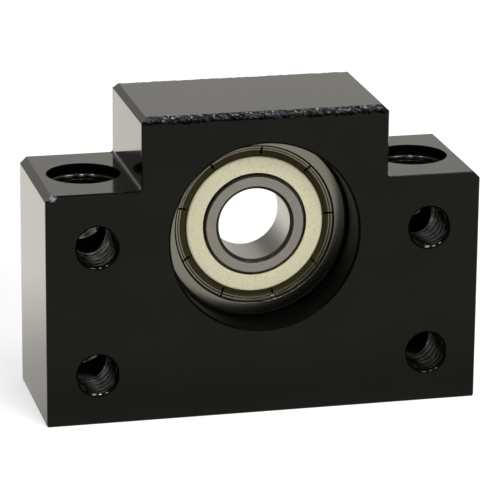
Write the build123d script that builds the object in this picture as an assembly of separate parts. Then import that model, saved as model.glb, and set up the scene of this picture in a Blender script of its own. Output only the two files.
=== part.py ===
from build123d import *
import math
import os

# Floating side end support for a ball screw: a stepped steel block with a shielded deep groove
# ball bearing in its bore. Millimetres, +Z up. The origin is the middle of the base, the screw's
# axis runs along Y, and the front of the block faces -Y.

# Block
WIDTH = 60.0
DEPTH = 20.0
SHOULDER_HEIGHT = 32.5
HEIGHT = 42.4
HUMP_WIDTH = 34.0
AXIS_HEIGHT = 25.0
SHOULDER_CHAMFER = 0.9
HUMP_SIDE_CHAMFER = 0.75
HUMP_FACE_CHAMFER = 0.75
STEP_FILLET = 0.4
EDGE_BREAK = 0.2
BORE_CHAMFER = 0.3

# Fixing holes of the block: two down through the shoulders, four through from front to back
HOLE_SPACING = 46.0
DOWN_HOLE_DIAMETER = 6.6
COUNTERBORE_DIAMETER = 10.1
COUNTERBORE_DEPTH = 1.7
DOWN_HOLE_CHAMFER = 0.2
CROSS_HOLE_DIAMETER = 5.5
CROSS_HOLE_LOW = 7.0
CROSS_HOLE_RISE = 18.0
CROSS_HOLE_CHAMFER = 0.45

# Bearing, 10 x 26 x 8, in the middle of the block's depth
BEARING_BORE = 10.0
BEARING_OD = 26.0
BEARING_WIDTH = 8.0
BEARING_OFFSET = 0.0
SEAT_CLEARANCE = 0.01
RING_CHAMFER = 0.4
RING_BORE_CHAMFER = 0.45
RING_EDGE_BREAK = 0.1
INNER_FACE_CHAMFER = 0.25

# Balls and their raceways
BALL_DIAMETER = 4.762
BALL_COUNT = 7
FIRST_BALL_ANGLE = 90.0
GROOVE_RATIO = 1.03
RACE_CLEARANCE = 0.01
RACE_DEPTH = 0.76

# Ribbon cage: two pressed halves held together by rivets between the balls
CAGE_THICKNESS = 0.35
CAGE_RIBBON_WIDTH = 1.6
POCKET_CLEARANCE = 0.08
RIVET_DIAMETER = 0.8
RIVET_HEAD_DIAMETER = 1.3
RIVET_HEAD_HEIGHT = 0.25
RIVET_CLEARANCE = 0.01

# Shields: pressed plates with a stepped groove and a slit rim, staked into the outer ring
SHIELD_THICKNESS = 0.3
SHIELD_SINK = 0.2
SHIELD_FLAT_DIAMETER = 19.1
SHIELD_GROOVE_DEPTH = 0.45
SHIELD_FLAT_FILLET = 0.25
SHIELD_GAP = 0.3
SHIELD_SEAT_CLEARANCE = 0.01
RIM_BEAD_DIAMETER = 21.7
RIM_BEAD_WIDTH = 0.86
RIM_BEAD_HEIGHT = 0.6
RIM_SLITS = 9
RIM_SLIT_WIDTH = 0.3
FIRST_SLIT_ANGLE = 85.0
SHIELD_SEAT_DIAMETER = 22.8
SHIELD_MOUTH_DIAMETER = 22.36
MOUTH_THICKNESS = 0.4
RING_STEP = 0.43
RING_STEP_LENGTH = 0.9

# Worked out from the values above
HALF_WIDTH = BEARING_WIDTH / 2
BALL_RADIUS = BALL_DIAMETER / 2
PITCH_RADIUS = (BEARING_BORE + BEARING_OD) / 4
GROOVE_RADIUS = BALL_RADIUS * GROOVE_RATIO
INNER_RACE_RADIUS = PITCH_RADIUS - BALL_RADIUS - RACE_CLEARANCE
OUTER_RACE_RADIUS = PITCH_RADIUS + BALL_RADIUS + RACE_CLEARANCE
INNER_LAND_RADIUS = INNER_RACE_RADIUS + RACE_DEPTH
OUTER_LAND_RADIUS = OUTER_RACE_RADIUS - RACE_DEPTH
INNER_FACE_RADIUS = INNER_LAND_RADIUS - RING_STEP
SHIELD_FACE = HALF_WIDTH - SHIELD_SINK
SHIELD_FLOOR = SHIELD_FACE - SHIELD_GROOVE_DEPTH
SHIELD_BORE_RADIUS = INNER_FACE_RADIUS + SHIELD_GAP
SHIELD_FLAT_RADIUS = SHIELD_FLAT_DIAMETER / 2
SHIELD_SEAT_RADIUS = SHIELD_SEAT_DIAMETER / 2
RIM_RADIUS = SHIELD_SEAT_RADIUS - SHIELD_SEAT_CLEARANCE
BALL_PITCH_ANGLE = 360 / BALL_COUNT
HOLE_SIDES = (-HOLE_SPACING / 2, HOLE_SPACING / 2)
CROSS_HOLE_HEIGHTS = (CROSS_HOLE_LOW, CROSS_HOLE_LOW + CROSS_HOLE_RISE)
BEARING_PLACE = Pos(0, BEARING_OFFSET, AXIS_HEIGHT)
ALONG_SCREW = Rot(-90, 0, 0)


# The block
def block_outline():
    """The stepped front view: a foot and a hump, with the corners cut and the step filleted."""
    base = (Align.CENTER, Align.MIN)
    half_hump = HUMP_WIDTH / 2
    outline = Rectangle(WIDTH, SHOULDER_HEIGHT, align=base) + Rectangle(HUMP_WIDTH, HEIGHT, align=base)
    outline = chamfer(outline.vertices().group_by(Axis.Y)[0], EDGE_BREAK)
    outline = chamfer(outline.vertices().group_by(Axis.Y)[-1], HUMP_SIDE_CHAMFER)
    level = outline.vertices().filter_by(lambda v: math.isclose(v.Y, SHOULDER_HEIGHT))
    outline = chamfer(level.filter_by(lambda v: abs(v.X) > half_hump + STEP_FILLET), SHOULDER_CHAMFER)
    level = outline.vertices().filter_by(lambda v: math.isclose(v.Y, SHOULDER_HEIGHT))
    return fillet(level.filter_by(lambda v: math.isclose(abs(v.X), half_hump)), STEP_FILLET)


def hump_cut(side):
    """The wedge that takes off the hump's top edge at the front, side -1, or the rear, side +1."""
    cut = HUMP_FACE_CHAMFER
    inner = DEPTH / 2 - cut
    outer = DEPTH / 2 + cut
    wedge = Polyline((side * (inner - cut), HEIGHT + cut), (side * outer, HEIGHT - 2 * cut),
                     (side * outer, HEIGHT + cut), close=True)
    return extrude(Plane.YZ * make_face(wedge), WIDTH / 2, both=True)


def block_body():
    """The outline at full depth, with the rims of its two faces broken and the hump's top edges cut."""
    body = extrude(Plane.XZ * block_outline(), DEPTH / 2, both=True)
    body = chamfer(body.faces().filter_by(Axis.Y).edges(), EDGE_BREAK)
    return body - hump_cut(-1) - hump_cut(1)


def chamfered_hole(diameter, length, rim):
    """A drill along Z, centred, that also cuts a chamfer of the given size at both of its ends."""
    radius = diameter / 2
    end = length / 2
    section = Polyline((0, end), (radius + rim, end), (radius, end - rim),
                       (radius, rim - end), (radius + rim, -end), (0, -end), close=True)
    return revolve(Plane.XZ * make_face(section), Axis.Z)


def bearing_bore():
    """The plain bore that runs through the block for the bearing."""
    diameter = BEARING_OD + 2 * SEAT_CLEARANCE
    return Pos(0, 0, AXIS_HEIGHT) * ALONG_SCREW * chamfered_hole(diameter, DEPTH, BORE_CHAMFER)


def down_hole(side):
    """One bolt hole down through a shoulder, with its counterbore."""
    floor = SHOULDER_HEIGHT - COUNTERBORE_DEPTH
    drill = Pos(side, 0, floor / 2) * chamfered_hole(DOWN_HOLE_DIAMETER, floor, DOWN_HOLE_CHAMFER)
    counterbore = extrude(Circle(COUNTERBORE_DIAMETER / 2), COUNTERBORE_DEPTH)
    return drill + Pos(side, 0, floor) * counterbore


def cross_hole(side, height):
    """One bolt hole from front to back, which crosses the hole down through the same shoulder."""
    drill = chamfered_hole(CROSS_HOLE_DIAMETER, DEPTH, CROSS_HOLE_CHAMFER)
    return Pos(side, 0, height) * ALONG_SCREW * drill


def housing():
    """The block, machined from one piece of steel."""
    block = block_body() - bearing_bore()
    for side in HOLE_SIDES:
        block -= down_hole(side)
        for height in CROSS_HOLE_HEIGHTS:
            block -= cross_hole(side, height)
    return block


# The bearing's rings, each turned from a section drawn as radius and distance from the middle
def turned(section):
    """A section spun round the screw's axis, in its place in the block."""
    return BEARING_PLACE * revolve(section, Axis.Y)


def ring_section(half, groove_centre):
    """The points of one half and their mirror image, less the raceway's round groove."""
    mirrored = [(radius, -along) for radius, along in reversed(half)]
    section = make_face(Polyline(*half, *mirrored, close=True))
    return section - Pos(groove_centre, 0) * Circle(GROOVE_RADIUS)


def bearing_outer_ring():
    """The fixed ring, with a raceway and an undercut seat for each shield."""
    outside = BEARING_OD / 2
    mouth = SHIELD_MOUTH_DIAMETER / 2
    seat_floor = SHIELD_FLOOR - SHIELD_THICKNESS - SHIELD_SEAT_CLEARANCE
    seat_top = HALF_WIDTH - MOUTH_THICKNESS
    half = [(OUTER_LAND_RADIUS, seat_floor),
            (SHIELD_SEAT_RADIUS, seat_floor),
            (SHIELD_SEAT_RADIUS, seat_top - (SHIELD_SEAT_RADIUS - mouth)),
            (mouth, seat_top),
            (mouth, HALF_WIDTH - RING_EDGE_BREAK),
            (mouth + RING_EDGE_BREAK, HALF_WIDTH),
            (outside - RING_CHAMFER, HALF_WIDTH),
            (outside, HALF_WIDTH - RING_CHAMFER)]
    return turned(ring_section(half, OUTER_RACE_RADIUS - GROOVE_RADIUS))


def bearing_inner_ring():
    """The ring that turns with the screw, stepped down at its ends to pass inside the shields."""
    bore = BEARING_BORE / 2
    step = HALF_WIDTH - RING_STEP_LENGTH
    half = [(INNER_LAND_RADIUS, step),
            (INNER_FACE_RADIUS, step),
            (INNER_FACE_RADIUS, HALF_WIDTH - INNER_FACE_CHAMFER),
            (INNER_FACE_RADIUS - INNER_FACE_CHAMFER, HALF_WIDTH),
            (bore + RING_BORE_CHAMFER, HALF_WIDTH),
            (bore, HALF_WIDTH - RING_BORE_CHAMFER)]
    return turned(ring_section(half, INNER_RACE_RADIUS + GROOVE_RADIUS))


# The rolling parts
def on_pitch_circle(shape, angle):
    """A shape set on the balls' pitch circle, at an angle from +X towards +Z as the front shows it."""
    return Rot(0, -angle, 0) * Pos(PITCH_RADIUS, 0, 0) * shape


def ball_angles():
    """Where the balls stand round the screw's axis, in degrees."""
    return [FIRST_BALL_ANGLE + BALL_PITCH_ANGLE * index for index in range(BALL_COUNT)]


def ball(angle):
    """One steel ball."""
    return BEARING_PLACE * on_pitch_circle(Sphere(BALL_RADIUS), angle)


def tube_along_screw(inner, outer, end):
    """A plain tube round the bearing's axis, from its middle to the given place along Y."""
    ring = Circle(outer) - Circle(inner)
    return extrude(Plane.ZX * ring, end)


def pocket_sphere(radius, side):
    """A sphere with its poles on a radius and its seam on the side away from the half it shapes."""
    return Rot(0, 90, 0) * Rot(0, 0, -90 * side) * Sphere(radius)


def cage_half(side):
    """A pressed half of the cage, at side +1 or -1 along Y: a flat ribbon that bulges round each ball."""
    inner = PITCH_RADIUS - CAGE_RIBBON_WIDTH / 2
    outer = PITCH_RADIUS + CAGE_RIBBON_WIDTH / 2
    pocket = BALL_RADIUS + POCKET_CLEARANCE
    half = tube_along_screw(inner, outer, side * CAGE_THICKNESS)
    room = tube_along_screw(inner, outer, side * BALL_DIAMETER)
    for angle in ball_angles():
        half += on_pitch_circle(pocket_sphere(pocket + CAGE_THICKNESS, side), angle) & room
    for angle in ball_angles():
        half -= on_pitch_circle(pocket_sphere(pocket, side), angle)
        rivet_hole = ALONG_SCREW * Cylinder(RIVET_DIAMETER / 2 + RIVET_CLEARANCE, BALL_DIAMETER)
        half -= on_pitch_circle(rivet_hole, angle + BALL_PITCH_ANGLE / 2)
    return BEARING_PLACE * half


def rivet():
    """A rivet along Y with a low domed head on each half of the cage."""
    shank = ALONG_SCREW * Cylinder(RIVET_DIAMETER / 2, 2 * CAGE_THICKNESS)
    radius = RIVET_HEAD_DIAMETER / 2
    dome = (radius ** 2 + RIVET_HEAD_HEIGHT ** 2) / (2 * RIVET_HEAD_HEIGHT)
    cap = Pos(0, CAGE_THICKNESS + RIVET_HEAD_HEIGHT - dome, 0) * Sphere(dome)
    above = Pos(0, CAGE_THICKNESS, 0) * ALONG_SCREW * extrude(Circle(radius), RIVET_HEAD_HEIGHT)
    head = cap & above
    return shank + head + mirror(head, Plane.XZ)


def cage_rivets():
    """The rivets, midway between the balls, as one group."""
    angles = [angle + BALL_PITCH_ANGLE / 2 for angle in ball_angles()]
    return Compound([BEARING_PLACE * on_pitch_circle(rivet(), angle) for angle in angles])


# The shields
def shield_section():
    """The pressed plate: flat, a step down to a groove, and a bead round the groove inside the rim."""
    low = SHIELD_FLOOR - SHIELD_THICKNESS
    start = SHIELD_FLAT_RADIUS - SHIELD_THICKNESS
    corner = (Align.MIN, Align.MIN)
    flat = Rectangle(SHIELD_FLAT_RADIUS - SHIELD_BORE_RADIUS, SHIELD_THICKNESS, align=corner)
    riser = Rectangle(SHIELD_THICKNESS, SHIELD_FACE - low, align=corner)
    floor = Rectangle(RIM_RADIUS - start, SHIELD_THICKNESS, align=corner)
    plate = Pos(SHIELD_BORE_RADIUS, SHIELD_FACE - SHIELD_THICKNESS) * flat
    plate += Pos(start, low) * riser
    plate += Pos(start, low) * floor
    outer_corner = plate.vertices().group_by(Axis.Y)[-1].sort_by(Axis.X)[-1]
    plate = fillet(outer_corner, SHIELD_FLAT_FILLET)
    bead = SlotOverall(RIM_BEAD_WIDTH, RIM_BEAD_HEIGHT)
    return plate + Pos(RIM_BEAD_DIAMETER / 2, low + RIM_BEAD_HEIGHT / 2) * bead


def rim_slit(angle):
    """The cutter for one slit, from the foot of the step out through the rim."""
    start = SHIELD_FLAT_RADIUS + SHIELD_FLAT_FILLET
    length = SHIELD_SEAT_RADIUS - SHIELD_FLAT_RADIUS
    cutter = Box(length, BEARING_WIDTH, RIM_SLIT_WIDTH, align=(Align.MIN, Align.CENTER, Align.CENTER))
    return BEARING_PLACE * Rot(0, -angle, 0) * Pos(start, 0, 0) * cutter


def shield(side):
    """A shield with its slits, at side +1 or -1 along Y."""
    plate = turned(shield_section())
    if side < 0:
        plate = mirror(plate, Plane(origin=BEARING_PLACE.position, z_dir=(0, 1, 0)))
    for index in range(RIM_SLITS):
        plate -= rim_slit(FIRST_SLIT_ANGLE + index * 360 / RIM_SLITS)
    return plate


def pieces():
    """Every piece of the support under its own name."""
    parts = {"housing": housing(),
             "bearing_outer_ring": bearing_outer_ring(),
             "bearing_inner_ring": bearing_inner_ring(),
             "shield_front": shield(-1),
             "shield_rear": shield(1),
             "cage_front": cage_half(-1),
             "cage_rear": cage_half(1),
             "cage_rivets": cage_rivets()}
    for index, angle in enumerate(ball_angles(), start=1):
        parts[f"ball_{index}"] = ball(angle)
    return parts


def main():
    os.makedirs("parts", exist_ok=True)
    for name, shape in pieces().items():
        shape.label = name
        export_step(shape, f"parts/{name}.step")


main()
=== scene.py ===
import math
from contextlib import contextmanager

import bmesh
import bpy
from bpy.props import FloatProperty, FloatVectorProperty, IntProperty, PointerProperty
from mathutils import Matrix, Vector


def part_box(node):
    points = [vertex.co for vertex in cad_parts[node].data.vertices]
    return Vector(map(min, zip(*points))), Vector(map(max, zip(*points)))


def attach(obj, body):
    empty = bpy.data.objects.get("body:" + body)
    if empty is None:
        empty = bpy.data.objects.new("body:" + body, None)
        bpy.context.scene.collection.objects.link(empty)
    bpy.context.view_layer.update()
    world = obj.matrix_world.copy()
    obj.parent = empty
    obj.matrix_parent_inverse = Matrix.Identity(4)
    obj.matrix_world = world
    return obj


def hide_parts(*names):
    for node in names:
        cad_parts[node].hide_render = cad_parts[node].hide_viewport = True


bl_info = {
    "name": "Ball screw end support",
    "version": (1, 0, 0),
    "blender": (4, 5, 0),
    "location": "3D View > Sidebar > End support",
    "description": "Builds the finished pieces of a ball screw end support round its packed solids",
    "category": "Add Mesh",
}

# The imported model, and the places that the pieces are measured from
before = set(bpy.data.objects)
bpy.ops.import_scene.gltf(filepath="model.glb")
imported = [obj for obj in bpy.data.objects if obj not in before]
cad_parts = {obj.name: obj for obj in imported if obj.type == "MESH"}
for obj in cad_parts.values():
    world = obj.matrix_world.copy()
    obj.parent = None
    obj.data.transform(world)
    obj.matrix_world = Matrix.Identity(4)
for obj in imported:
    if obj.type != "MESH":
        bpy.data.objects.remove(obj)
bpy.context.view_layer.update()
MM = 0.001
RING_LOW, RING_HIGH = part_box("bearing_outer_ring")
BLOCK_LOW, BLOCK_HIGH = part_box("housing")
AXIS_HEIGHT = (RING_LOW.z + RING_HIGH.z) / 2
BEARING_RADIUS = (RING_HIGH.x - RING_LOW.x) / 2
HALF_BEARING = (RING_HIGH.y - RING_LOW.y) / 2
BALLS = sorted(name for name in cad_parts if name.startswith("ball_"))

# Limits of the mesh work: narrow faces, merged points, the rough cut's margin and the strip by it
NARROW = 0.35 * MM
MERGE = 1e-7
MARGIN = 0.3 * MM
STRIP = 2.0 * MM


# Settings. Lengths and places are given in millimetres and angles in degrees
def maker(kind, convert=lambda value: value, **more):
    """A function that makes one kind of setting from its name, its default and its description."""
    def make(name, default, description):
        return kind(name=name, default=convert(default), description=description, **more)
    return make


length = maker(FloatProperty, lambda value: value * MM, precision=5, subtype="DISTANCE",
               unit="LENGTH")
place = maker(FloatVectorProperty, lambda spot: [value * MM for value in spot], size=3, precision=5,
              subtype="TRANSLATION", unit="LENGTH")
angle = maker(FloatProperty, math.radians, subtype="ANGLE", unit="ROTATION")
power = maker(FloatProperty, min=0.0, subtype="POWER", unit="POWER")
share = maker(FloatProperty, min=0.0, max=1.0, subtype="FACTOR")
colour = maker(FloatVectorProperty, size=3, min=0.0, max=1.0, subtype="COLOR")
count = maker(IntProperty, min=1)
facets = maker(IntProperty, min=8)


class BlockSettings(bpy.types.PropertyGroup):
    """Tool marks and finish of the blackened block."""
    hole_spacing: length("Hole spacing", 46.0, "Between the bolt holes, side to side")
    hole_rise: length("Hole rise", 18.0, "Between the lower and the upper bolt holes")
    hole_low: length("Lowest hole", 7.0, "Height of the lower bolt holes")
    hole_radius: length("Hole radius", 2.75, "Radius of the bolt holes from front to back")
    ridge_inset: length("Ridge inset", 0.5, "From a hole's mouth to the first spiral mark")
    ridge_length: length("Ridge length", 6.6, "How far in from each mouth the spiral marks run")
    ridge_pitch: length("Ridge pitch", 1.3, "Between two turns of the drill's spiral marks")
    ridge_depth: length("Ridge depth", 0.06, "How deep the spiral marks go")
    ridge_width: length("Ridge width", 0.8, "Width of a spiral mark")
    ridge_wander: length("Ridge wander", 0.4, "How unevenly the spiral marks run")
    chatter_depth: length("Chatter depth", 0.32, "Depth of the rough cut along the hump's edges")
    chatter_size: length("Chatter size", 0.95, "Size of a stroke of the rough cut")
    chatter_length: length("Chatter length", 34.6, "Length of the rough cut, past both sides")
    chamfer: length("Hump chamfer", 0.75, "The cut along the hump's top edges")
    nick: length("Nick", 1.2, "Size of the nick in the left shoulder's front corner")
    shoulder: length("Shoulder", 32.5, "Height of the shoulders")
    shoulder_cut: length("Shoulder cut", 0.9, "The cut along the shoulders' outer edges")
    counterbore: length("Counterbore", 5.05, "Radius of the counterbores")
    counterbore_depth: length("Counterbore depth", 1.7, "Depth of the counterbores")
    corner: length("Counterbore corner", 0.26, "Rounding between a counterbore's wall and floor")
    corner_steps: facets("Corner steps", 120, "Steps round a counterbore")
    bore_rim: length("Bore rim", 0.31, "Width of the cut at the bore's mouths")
    seed: count("Seed", 7, "Seed of the tool marks")
    oxide: colour("Oxide", (0.0010, 0.0014, 0.0004), "Colour of the blackened steel")
    oxide_worn: colour("Thin oxide", (0.0026, 0.0030, 0.0016), "Colour where the oxide is thin")
    bored: colour("Bored oxide", (0.0012, 0.0012, 0.0009), "Colour of the block's bore")
    drilled: colour("Drilled oxide", (0.010, 0.010, 0.0085), "Colour inside the bolt holes")
    torn: colour("Torn oxide", (0.034, 0.0335, 0.034), "Colour of the rough cut")
    # The counterbores' corners are painted lighter, a painted highlight for the bright arc that they
    # reflect
    worn: colour("Worn oxide", (0.18, 0.18, 0.172), "Colour of the counterbores' corners")
    # The nick is lighter bare steel, and its brightness and lilac tint are partly a painted highlight
    # for the lilac lamp's glint
    bare: colour("Bare steel", (0.20, 0.195, 0.238), "Colour of the steel in the nick")
    roughness: share("Roughness", 0.16, "Roughness of the ground faces")
    bored_roughness: share("Bored roughness", 0.32, "Roughness of the bearing's bore in the block")
    drilled_roughness: share("Drilled roughness", 0.25, "Roughness inside the bolt holes")
    torn_roughness: share("Torn roughness", 0.2, "Roughness of the rough cut")
    worn_roughness: share("Worn roughness", 0.12, "Roughness of the counterbores' corners")


class RingSettings(bpy.types.PropertyGroup):
    """Outlines and finish of the bearing's rings."""
    bore: length("Bore", 5.0, "Radius of the inner ring's bore")
    outer_chamfer: length("Outer chamfer", 0.4, "The cut on the outer ring's outside edges")
    bore_chamfer: length("Bore chamfer", 0.45, "The cut on the inner ring's bore edges")
    edge_round: length("Edge round", 0.08, "Rounding of the sharp edges")
    face_round: length("Face round", 0.25, "Rounding of the inner ring's outside edges")
    race_pitch: length("Race offset", 0.061, "From the pitch circle to a raceway's centre")
    pitch_radius: length("Pitch radius", 9.0, "Radius of the circle that the balls run on")
    race_radius: length("Race radius", 2.45243, "Radius of the raceways' round grooves")
    outer_land: length("Outer land", 10.631, "Inner radius of the outer ring's shoulders")
    inner_land: length("Inner land", 7.369, "Outer radius of the inner ring's shoulders")
    inner_face: length("Inner face", 6.939, "Outer radius of the inner ring's faces")
    inner_step: length("Inner step", 0.9, "Length of the step at the inner ring's ends")
    seat_radius: length("Shield seat", 11.4, "Radius of the shields' seats")
    seat_floor: length("Seat floor", 3.04, "From the middle to the floor of a seat")
    mouth_radius: length("Mouth", 11.18, "Radius of the lip that holds a shield")
    mouth_thickness: length("Mouth thickness", 0.4, "Thickness of that lip")
    turns: facets("Steps", 240, "Steps round a turned piece")
    outer_steel: colour("Outer ring steel", (0.58, 0.565, 0.50), "Colour of the outer ring")
    inner_steel: colour("Inner ring steel", (0.70, 0.68, 0.63), "Colour of the inner ring")
    # The dark tone on the rings' chamfers and the inner ring's step is painted shade
    cut_steel: colour("Cut steel", (0.09, 0.085, 0.07), "Colour of the cuts on the rings' edges")
    roughness: share("Outer roughness", 0.22, "Roughness of the outer ring's faces")
    inner_roughness: share("Inner roughness", 0.27, "Roughness of the inner ring's faces")
    bore_steel: colour("Bore steel", (0.79, 0.775, 0.75), "Colour of the inner ring's bore")
    bore_roughness: share("Bore roughness", 0.46, "Roughness of the inner ring's bore")
    grain: share("Grain", 0.35, "How far the turned grain stretches the highlights")


class ShieldSettings(bpy.types.PropertyGroup):
    """Outline, slits and finish of the pressed shields."""
    bore: length("Bore", 7.239, "Radius of the shield's bore")
    face: length("Face", 3.8, "From the middle to the shield's flat")
    bore_round: length("Bore rounding", 0.1, "Rounding of the bore's edge")
    flat_radius: length("Flat radius", 9.55, "Outer radius of the flat")
    flat_round: length("Flat rounding", 0.32, "Rounding of the flat's outer edge")
    foot_round: length("Foot rounding", 0.18, "Rounding at the foot of the step")
    groove_depth: length("Groove depth", 0.45, "Step down from the flat to the groove")
    groove_slope: length("Groove slope", 0.14, "How far the groove's floor falls towards the bead")
    thickness: length("Thickness", 0.3, "Thickness of the sheet")
    lip_radius: length("Lip", 10.2, "Radius where the low lip inside the bead starts")
    lip_width: length("Lip width", 0.42, "Width of the lip")
    lip_slope: length("Lip slope", 0.25, "Width of the lip's sloping side")
    lip_height: length("Lip height", 0.17, "Height of the lip over the groove")
    crease: length("Crease", 0.07, "Width of the crease between the lip and the bead")
    bead_radius: length("Bead", 10.99, "Outer radius of the bead's crest")
    bead_end: length("Bead end", 11.14, "Outer radius of the bead's foot")
    bead_height: length("Bead height", 0.3, "Height of the bead over the groove")
    rim_radius: length("Rim radius", 11.39, "Outer radius of the rim, under the ring's lip")
    slits: count("Slits", 9, "Slits round the rim")
    slit_width: length("Slit width", 0.3, "Width of a slit")
    slit_start: length("Slit start", 9.8, "Radius where a slit starts")
    slit_end: length("Slit end", 11.6, "Radius past the rim where the cut ends")
    first_slit: angle("First slit", 85.0, "Place of the first slit")
    sheet: colour("Sheet", (0.755, 0.725, 0.50), "Colour of the pale khaki sheet")
    speck: colour("Specks", (0.60, 0.57, 0.37), "Colour of its fine specks")
    # The groove's dark colour is painted shade
    groove_shade: colour("Groove", (0.064, 0.054, 0.020), "Colour of the pressed groove")
    # The bead colour on the lip's and the bead's crests is a painted highlight
    bead: colour("Bead", (0.52, 0.50, 0.41), "Colour of the burnished bead")
    roughness: share("Roughness", 0.5, "Roughness of the sheet")
    groove_shade_roughness: share("Groove roughness", 0.4, "Roughness of the pressed groove")
    bead_roughness: share("Bead roughness", 0.24, "Roughness of the bead")


class CageSettings(bpy.types.PropertyGroup):
    """Rivets and finish of the cage and the balls."""
    pitch_radius: length("Pitch radius", 9.0, "Radius of the circle that the rivets stand on")
    thickness: length("Cage thickness", 0.35, "Thickness of one half of the cage")
    shank: length("Shank", 0.4, "Radius of a rivet's shank")
    head: length("Head", 0.65, "Radius of a rivet's head")
    head_height: length("Head height", 0.25, "Height of a rivet's head")
    first_rivet: angle("First rivet", 90.0 + 180.0 / 7, "Place of the first rivet")
    rivet_steps: facets("Steps", 28, "Steps round a rivet")
    sheet: colour("Cage sheet", (0.52, 0.50, 0.46), "Colour of the pressed cage")
    ball: colour("Ball", (0.78, 0.78, 0.78), "Colour of the polished balls")


class StageSettings(bpy.types.PropertyGroup):
    """Camera, floor and lamps."""
    camera: place("Camera", (-100.80, -415.328, 154.45), "Where the camera stands")
    azimuth: angle("Azimuth", 13.6805, "How far the camera turns from the screw's axis")
    tilt: angle("Tilt", 17.4442, "How far the camera looks down")
    roll: angle("Roll", 0.5267, "How far the camera leans")
    lens: FloatProperty(name="Lens", description="Focal length in millimetres", default=234.02)
    floor: length("Floor", 6000.0, "Side of the floor")
    white: colour("Floor colour", (0.8, 0.8, 0.8), "Colour of the floor")
    glow: share("Floor glow", 0.55, "How much of the floor's white the camera sees in any light")
    near: share("Floor in front", 0.395, "What gloss shows of the floor in front of the block")
    middle: share("Floor at the block", 0.48, "What gloss shows of the floor beside the block")
    far: share("Floor behind", 1.0, "What gloss shows of the floor behind the block")
    # The floor at the foot is a painted shadow: gloss sees the floor dimmed right before the block
    foot: share("Floor at the foot", 0.72, "How much of it is left right before the block")
    left: share("Floor at the left", 0.15, "How much of the floor in front is left far to the left")
    card: share("Card", 0.53, "Brightness of the card behind to the right")
    low_card: share("Low card", 0.42, "Brightness of the low card behind to the left")
    high_card: share("High card", 0.08, "Brightness of the card above it")
    warm: colour("Warm white", (1.0, 0.965, 0.89), "Colour of the cards and of the floor in gloss")
    ambient: share("Ambient", 0.35, "Brightness of the world")
    gloss_world: share("World in gloss", 0.05, "What gloss shows of the world")
    key: power("Key lamp", 6.7, "The large lamp in front to the right")
    fill: power("Fill lamp", 1.5, "The lamp in front to the left")
    top: power("Top lamp", 0.7, "The small lamp overhead")
    small: power("Small lamps", 0.55, "The two smaller lamps overhead")
    lilac: colour("Lamp tint", (0.93, 0.91, 1.0), "Colour of the lamp overhead")


# Node trees
class Tree:
    """A node tree, with each node linked to its sources as it is added."""

    def __init__(self, tree):
        self.tree = tree

    def set(self, node, inputs):
        """Sets a node's inputs, each to a value or to another node's output."""
        for name, value in inputs.items():
            if isinstance(value, bpy.types.NodeSocket):
                self.tree.links.new(value, node.inputs[name])
            else:
                node.inputs[name].default_value = value

    def node(self, kind, inputs=None, **settings):
        """Adds a node and gives its outputs."""
        node = self.tree.nodes.new(kind)
        for name, value in settings.items():
            setattr(node, name, value)
        self.set(node, inputs or {})
        return node.outputs

    def add(self, kind, inputs=None, **settings):
        """Adds a node and gives its first output."""
        return self.node(kind, inputs, **settings)[0]

    def math(self, operation, *values):
        """A Math node's result."""
        return self.add("ShaderNodeMath", dict(enumerate(values)), operation=operation)

    def vector(self, operation, *values):
        """A Vector Math node's result."""
        outputs = self.node("ShaderNodeVectorMath", dict(enumerate(values)), operation=operation)
        return outputs["Value" if operation == "LENGTH" else "Vector"]

    def triple(self, x, y, z):
        """A vector from its three parts."""
        return self.add("ShaderNodeCombineXYZ", {"X": x, "Y": y, "Z": z})

    def parts(self, vector):
        """A vector's parts by the names X, Y and Z."""
        return self.node("ShaderNodeSeparateXYZ", {0: vector})

    def spot(self):
        """The place on the object."""
        return self.node("ShaderNodeTexCoord")["Object"]

    def noise(self, spot, scale, detail):
        """A noise from 0 to 1."""
        return self.add("ShaderNodeTexNoise", {"Vector": spot, "Scale": scale, "Detail": detail})

    def ranged(self, value, low, high, start=0.0, end=1.0, soft=False):
        """A number that goes from low to high while a value goes from start to end."""
        return self.add("ShaderNodeMapRange", {
            "Value": value, "From Min": start, "From Max": end, "To Min": low, "To Max": high},
            interpolation_type="SMOOTHSTEP" if soft else "LINEAR")

    def ramp(self, factor, low, high, start=0.0, end=1.0):
        """A colour ramp between two linear colours."""
        node = self.tree.nodes.new("ShaderNodeValToRGB")
        self.set(node, {"Fac": factor})
        stops = node.color_ramp.elements
        stops[0].position, stops[0].color = start, (*low, 1)
        stops[1].position, stops[1].color = end, (*high, 1)
        return node.outputs["Color"]

    def moved(self, shape, shift=(0, 0, 0), turn=(0, 0, 0), scale=(1, 1, 1)):
        """A shape scaled, turned and moved."""
        return self.add("GeometryNodeTransform", {
            "Geometry": shape, "Translation": shift, "Rotation": turn, "Scale": scale})

    def cut(self, body, tool):
        """A body less a tool."""
        return self.add("GeometryNodeMeshBoolean", {"Mesh 1": body, "Mesh 2": tool},
                        operation="DIFFERENCE", solver="MANIFOLD")

    def copies(self, points, shape, turn=(0, 0, 0)):
        """A shape's copies on points, as real geometry."""
        placed = self.add("GeometryNodeInstanceOnPoints", {
            "Points": points, "Instance": shape, "Rotation": turn})
        return self.add("GeometryNodeRealizeInstances", {"Geometry": placed})


def new_geometry_tree(name, inputs):
    """A Geometry Nodes tree and its inputs, each from its name and default, None for a material."""
    group = bpy.data.node_groups.new(name, "GeometryNodeTree")
    group.interface.new_socket("Geometry", in_out="INPUT", socket_type="NodeSocketGeometry")
    kinds = {float: "NodeSocketFloat", int: "NodeSocketInt", type(None): "NodeSocketMaterial"}
    for label, default in inputs.items():
        socket = group.interface.new_socket(label, in_out="INPUT", socket_type=kinds[type(default)])
        if default is not None:
            socket.default_value = default
    group.interface.new_socket("Geometry", in_out="OUTPUT", socket_type="NodeSocketGeometry")
    tree = Tree(group)
    return tree, tree.node("NodeGroupInput")


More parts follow.
